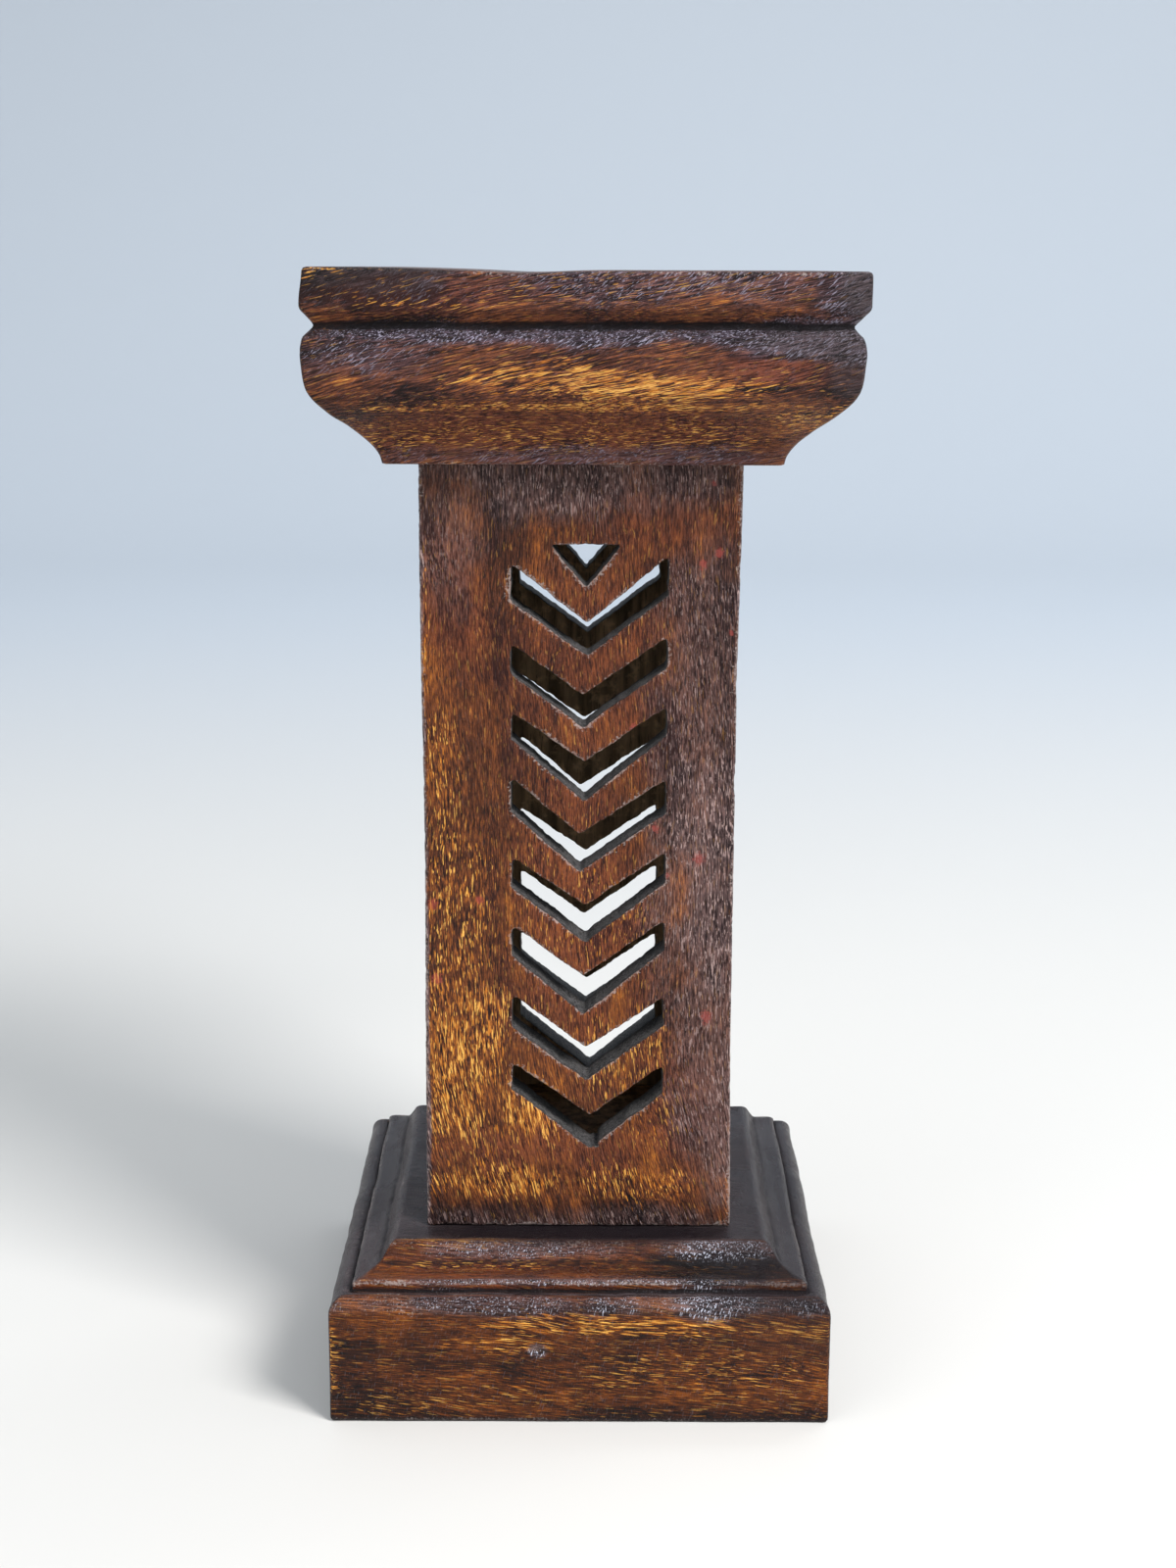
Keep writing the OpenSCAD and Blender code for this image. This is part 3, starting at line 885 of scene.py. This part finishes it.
# Each wood's patches: where it is worn to gold, grey with bloomed varnish and painted sheen
# # and glints, stained red, dark or charred, or darkened with painted shade
# The front's grey patches, down its right third, along both long edges, at the foot and top, are bloom
# with painted sheen and glints
front_wood = stained_wood(
    "front_wood", "z", 1.0, lean=0.02, sweep=0.0026, fine=0.75, sparkle=WARM_GLINT,
    gold=[((0.12, 0, 0.23), (0.17, 0, 0.14), 1.0), ((0.34, 0, 0.17), (0.15, 0, 0.08), 0.9),
          ((0.10, 0, 0.42), (0.14, 0, 0.14), 0.55), ((0.06, 0, 0.62), (0.07, 0, 0.12), 0.5),
          ((0.24, 0, 0.062), (0.22, 0, 0.03), 0.9), ((0.70, 0, 0.062), (0.24, 0, 0.03), 0.6),
          ((0.60, 0, 0.24), (0.22, 0, 0.07), 0.5), ((0.72, 0, 0.14), (0.12, 0, 0.05), 0.4),
          ((0.45, 0, 0.42), (0.30, 0, 0.14), 0.34), ((0.0, 0, 0.76), (0.035, 0, 0.12), 0.9)],
    grey=[((0.92, 0, 0.49), (0.16, 0, 0.20), 0.7), ((0.5, 0, 1.0), (0.9, 0, 0.075), 0.6),
          ((0.93, 0, 0.25), (0.14, 0, 0.2), 0.5),
          ((0.90, 0, 0.72), (0.17, 0, 0.24), 0.45), ((0.10, 0, 0.93), (0.15, 0, 0.1), 0.35),
          ((0.5, 0, 0.0), (0.9, 0, 0.03), 0.5), ((0.97, 0, 0.15), (0.09, 0, 0.2), 0.6),
          ((0.78, 0, 0.50), (0.1, 0, 0.2), 0.4), ((0.0, 0, 0.40), (0.016, 0, 0.5), 1.3),
          ((1.0, 0, 0.5), (0.016, 0, 0.55), 1.2)],
    red=[((0.10, 0, 0.83), (0.14, 0, 0.12), 0.7), ((0.55, 0, 0.74), (0.30, 0, 0.2), 0.6),
         ((0.5, 0, 0.11), (0.5, 0, 0.035), 0.75), ((0.75, 0, 0.93), (0.3, 0, 0.06), 0.6),
         ((0.5, 0, 0.42), (0.25, 0, 0.25), 0.7), ((0.85, 0, 0.16), (0.16, 0, 0.10), 0.6)],
    dark=[((0.25, 0, 0.88), (0.12, 0, 0.10), 0.08), ((0.5, 0, 0.01), (0.9, 0, 0.03), 0.15),
          ((0.85, 0, 0.8), (0.2, 0, 0.25), 0.05), ((0.10, 0, 0.97), (0.2, 0, 0.05), 0.06)],
    specks=FRONT_SPECKS)
back_wood = stained_wood(
    "back_wood", "z", 2.0, lean=-0.02, fine=0.85, sparkle=WARM_GLINT,
    gold=[((0.8, 1, 0.3), (0.28, 0, 0.3), 0.8), ((0.3, 1, 0.1), (0.5, 0, 0.1), 0.7)],
    grey=[((0.1, 1, 0.55), (0.2, 0, 0.45), 0.6), ((0.5, 1, 1.0), (0.9, 0, 0.07), 0.5)],
    red=[((0.6, 1, 0.8), (0.4, 0, 0.2), 0.6)])
left_wood = stained_wood(
    "left_wood", "z", 3.0, fine=0.85, sparkle=WARM_GLINT,
    gold=[((0, 0.4, 0.25), (0, 0.5, 0.25), 0.8), ((0, 0.9, 0.5), (0, 0.2, 0.3), 0.5)],
    grey=[((0, 0.9, 0.8), (0, 0.3, 0.25), 0.5), ((0, 0.5, 1.0), (0, 0.9, 0.07), 0.5)],
    red=[((0, 0.3, 0.75), (0, 0.5, 0.2), 0.6)])
right_wood = stained_wood(
    "right_wood", "z", 4.0, fine=0.85, sparkle=WARM_GLINT,
    gold=[((1, 0.6, 0.2), (0, 0.4, 0.2), 0.8), ((1, 0.9, 0.55), (0, 0.2, 0.2), 0.5)],
    grey=[((1, 0.05, 0.5), (0, 0.25, 0.4), 0.55), ((1, 0.5, 1.0), (0, 0.9, 0.07), 0.5)],
    red=[((1, 0.4, 0.7), (0, 0.5, 0.2), 0.5)])
# The cap's grey patches are bloom with painted sheen and glints; the dark and charcoal patches at its
# fascia's left end are dark stain and painted shade
cap_wood = stained_wood(
    "cap_wood", "x", 5.0, lean=-0.22, hatch=28, fine=0.7, flow=1.7, crisp=1.4,
    bloom=DARK_BLOOM_AND_SHEEN, sparkle=DIM_GLINT, side_charcoal=0.35, gold_floor=0.1,
    grey_floor=0.22, edge_rub_and_highlight=-0.3,
    gold=[((0.66, 0, 0.42), (0.18, 0, 0.08), 1.4), ((0.52, 0, 0.44), (0.18, 0, 0.07), 1.1),
          ((0.38, 0, 0.46), (0.15, 0, 0.09), 0.8), ((0.60, 0, 0.315), (0.40, 0, 0.03), 1.0),
          ((0.17, 0, 0.30), (0.09, 0, 0.015), 0.8), ((0.90, 0, 0.24), (0.10, 0, 0.08), 0.7),
          ((0.26, 0, 0.82), (0.14, 0, 0.025), 0.35), ((0.60, 0, 0.90), (0.40, 0, 0.08), 0.3),
          ((0.02, 0, 0.98), (0.05, 0, 0.04), 0.6), ((0.45, 0, 0.14), (0.5, 0, 0.12), 0.5)],
    grey=[((0.97, 0, 0.90), (0.09, 0, 0.18), 0.6), ((0.92, 0, 0.66), (0.16, 0, 0.11), 1.0),
          ((0.45, 0, 0.67), (0.60, 0, 0.06), 0.8), ((0.68, 0, 0.93), (0.42, 0, 0.12), 0.45),
          ((0.10, 0, 0.55), (0.14, 0, 0.14), 0.5), ((0.5, 0, 0.05), (0.5, 0, 0.07), 0.45)],
    red=[((0.84, 0, 0.51), (0.13, 0, 0.09), 1.0), ((0.45, 0, 0.12), (0.50, 0, 0.19), 0.8),
         ((0.22, 0, 0.88), (0.20, 0, 0.09), 0.8)],
    dark=[((0.5, 0, 0.69), (0.9, 0, 0.06), 0.24), ((0.12, 0, 0.93), (0.18, 0.3, 0.12), 0.40),
          ((0.06, 0, 0.5), (0.2, 0, 0.25), 0.13), ((0.97, 0, 0.5), (0.10, 0, 0.3), 0.14),
          ((0.82, 0, 0.41), (0.12, 0, 0.02), 0.30), ((0.88, 0, 0.57), (0.14, 0, 0.02), 0.30),
          ((0.45, 0, 0.13), (0.55, 0, 0.10), 0.07),
          ((0.95, 0, 0.90), (0.12, 0, 0.2), 0.18), ((0.60, 0, 0.92), (0.45, 0, 0.08), 0.08)],
    charcoal=[((0.12, 0, 0.95), (0.14, 0.3, 0.07), 0.3), ((0.985, 0, 0.90), (0.05, 0, 0.15), 0.75),
              ((0.93, 0, 0.64), (0.12, 0, 0.10), 0.6), ((0.97, 0, 0.48), (0.045, 0, 0.09), 0.5)])
# The base's grey patches are painted glints and sheen on its mouldings, with bloom; its shade patches
# are painted shade
base_wood = stained_wood(
    "base_wood", "x", 6.0, lean=0.09, hatch=75, fine=0.65, flow=2.0, crisp=1.2,
    side_charcoal=0.95, grey_floor=0.0,
    gold=[((0.58, 0, 0.62), (0.30, 0.12, 0.06), 0.9), ((0.92, 0, 0.60), (0.12, 0.12, 0.07), 0.8),
          ((0.0, 0, 0.45), (0.025, 0.12, 0.25), 0.8), ((0.80, 0, 0.30), (0.30, 0.12, 0.2), 0.3),
          ((0.30, 0, 0.15), (0.30, 0.12, 0.12), 0.25), ((0.35, 0, 0.50), (0.12, 0.12, 0.08), 0.6),
          ((0.30, 0.13, 1.0), (0.17, 0.05, 0.05), 1.0), ((0.30, 0.1, 0.88), (0.2, 0.05, 0.03), 0.5)],
    grey=[((0.80, 0.04, 0.73), (0.3, 0.06, 0.08), 1.1), ((0.78, 0.14, 0.95), (0.17, 0.06, 0.09), 1.0),
          ((0.42, 0.12, 0.95), (0.25, 0.06, 0.07), 0.7), ((0.22, 0.03, 0.73), (0.3, 0.06, 0.07), 0.6),
          ((0.5, 0.05, 0.83), (0.6, 0.05, 0.02), 0.7), ((0.418, 0, 0.455), (0.018, 0.06, 0.04), 1.0)],
    red=[((0.3, 0.06, 0.85), (0.30, 0.2, 0.16), 0.7), ((0.5, 0.13, 0.95), (0.2, 0.06, 0.1), 0.6)],
    dark=[((0.06, 0, 0.3), (0.07, 0.2, 0.3), 0.12), ((0.84, 0.09, 0.87), (0.26, 0.06, 0.07), 0.45),
          ((0.5, 0.09, 0.865), (0.6, 0.06, 0.025), 0.12), ((0.5, 0, 0.0), (0.9, 0.2, 0.08), 0.12),
          ((0.2, 0, 0.35), (0.2, 0.2, 0.12), 0.08), ((0.5, 0, 0.3), (0.9, 0.2, 0.4), 0.04),
          ((0.8, 0.03, 0.74), (0.35, 0.06, 0.06), 0.22), ((0.25, 0.03, 0.74), (0.3, 0.06, 0.06), 0.12)],
    shade_patches=[((0.5, 0.16, 1.0), (0.42, 0.06, 0.1), 0.94), ((0.93, 0.5, 0.9), (0.18, 0, 0.5), 0.62),
          ((0.82, 0.5, 1.0), (0.05, 0, 0.1), 0.45), ((0.5, 0.0, 0.0), (0.9, 0.3, 0.04), 0.7),
          ((0.97, 0.55, 0.93), (0.14, 0.45, 0.28), 0.8)])


def stand_for(piece, node):
    """The piece shows in the CAD node's place."""
    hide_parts(node)
    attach(piece, "root")


BASE_CENTRE = (0.15, 0.0)
CAP_CENTRE = (CAP_LOW[:2] + CAP_HIGH[:2]) / 2
base = moulded_block("base", base_profile(), BASE_CENTRE, corner=0.9, carve=carve_base,
                     finish=base_wood, seed=11)
stand_for(base, "base_block")
cap = moulded_block("cap", cap_profile(), CAP_CENTRE, corner=1.0, carve=carve_cap,
                    finish=cap_wood, seed=12)
stand_for(cap, "cap_block")

BROAD_WIDTH = 2 * COLUMN_HALF
NARROW_WIDTH = SIDE_HIGH[1] - SIDE_LOW[1]
NO_DROPS = (0.0,) * len(BACK_DROPS)
for side, turn, width, drops, finish, seed in (
        ("front", 0, BROAD_WIDTH, NO_DROPS, front_wood, 1.0),
        ("back", 2, BROAD_WIDTH, BACK_DROPS, back_wood, 2.0),
        ("left", 3, NARROW_WIDTH, None, left_wood, 3.0),
        ("right", 1, NARROW_WIDTH, None, right_wood, 4.0)):
    holes = slot_outlines(drops, seed) if drops else []
    board = column_panel(side + "_board", turn, width, holes, [finish, cut, dusty], seed)
    stand_for(board, side + "_panel")

steel = screw_steel()
for node, finish in (("top_plug", unfinished), ("bottom_plug", unfinished),
                     ("cap_screws", steel), ("base_screws", steel)):
    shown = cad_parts[node]
    shown.data.materials.clear()
    shown.data.materials.append(finish)


# ---------------------------------------------------------------- floor, light and camera

def stage():
    """A pale floor that curves up into a pale backdrop."""
    width, near, far, height, bend, steps = 6.0, -2.5, 2.6, 3.0, 0.9, 16
    line = [(near, 0.0), (far - bend, 0.0)]
    for k in range(1, steps + 1):
        angle = math.pi / 2 * k / steps
        line.append((far - bend + bend * math.sin(angle), bend - bend * math.cos(angle)))
    line.append((far, height))
    points = [(x, y, z) for y, z in line for x in (-width / 2, width / 2)]
    faces = [(2 * k, 2 * k + 1, 2 * k + 3, 2 * k + 2) for k in range(len(line) - 1)]
    mesh = bpy.data.meshes.new("stage_floor")
    mesh.from_pydata(points, [], faces)
    mesh.shade_smooth()
    floor = bpy.data.objects.new("stage_floor", mesh)
    bpy.context.scene.collection.objects.link(floor)
    s = Shader("stage_paper")
    mottle = s.noise(s.scaled(s.place, (1 / 60,) * 3), 3)
    far_off = s.step(s.axis(s.place, "Y"), 200, 1500)
    colour = s.mix(far_off, (0.66, 0.645, 0.62), (0.62, 0.665, 0.72))
    mesh.materials.append(s.finish(colour, 0.75, mottle, 0.2, 0.2, specular=0.3))


def light(name, place, target, size, power, colour):
    """A rectangular lamp aimed at target, its places and size in metres and power in watts."""
    lamp = bpy.data.lights.new(name, "AREA")
    lamp.shape = "RECTANGLE"
    lamp.size, lamp.size_y = size
    lamp.energy = power
    lamp.color = colour
    holder = bpy.data.objects.new(name, lamp)
    holder.location = place
    aim = Vector(target) - Vector(place)
    holder.rotation_euler = aim.to_track_quat("-Z", "Y").to_euler()
    bpy.context.scene.collection.objects.link(holder)


def camera():
    """A view from the front, level with the top and looking down a little."""
    pitch, roll = math.radians(12.856), math.radians(0.22)
    focal_mm, sensor_mm = 52.04, 36.0
    lens = bpy.data.cameras.new("camera")
    lens.lens = focal_mm
    lens.sensor_width = sensor_mm
    eye = bpy.data.objects.new("camera", lens)
    eye.location = (0.00186, -0.6173, 0.3001)
    turn = Matrix.Rotation(math.pi / 2 - pitch, 3, "X") @ Matrix.Rotation(roll, 3, "Z")
    eye.rotation_euler = turn.to_euler()
    bpy.context.scene.collection.objects.link(eye)
    bpy.context.scene.camera = eye


def soft_dome():
    """A room that is bright overhead and dim lower down, so that glossy edges show."""
    world = bpy.data.worlds.new("soft_dome")
    world.use_nodes = True
    nodes, links = world.node_tree.nodes, world.node_tree.links
    split = nodes.new("ShaderNodeSeparateXYZ")
    fade = nodes.new("ShaderNodeMapRange")
    for socket, value in zip(fade.inputs[1:5], (-0.1, 0.9, 0.18, 0.95)):
        socket.default_value = value
    links.new(nodes.new("ShaderNodeTexCoord").outputs["Generated"], split.inputs[0])
    links.new(split.outputs["Z"], fade.inputs[0])
    links.new(fade.outputs[0], nodes["Background"].inputs["Strength"])
    nodes["Background"].inputs["Color"].default_value = (0.86, 0.93, 1.0, 1)
    bpy.context.scene.world = world


stage()
camera()
soft_dome()
light("key", (0.90, -0.85, 1.20), (0, 0, 0.15), (0.6, 0.6), 34, (1.0, 0.99, 0.98))
light("fill", (-1.3, -1.1, 0.7), (0, 0, 0.15), (1.2, 1.2), 8, (1.0, 0.97, 0.94))
light("wall", (1.1, 1.0, 2.3), (0.7, 2.4, 0.6), (1.6, 0.6), 12.5, (0.94, 0.97, 1.0))
bpy.context.scene.view_settings.view_transform = "Standard"
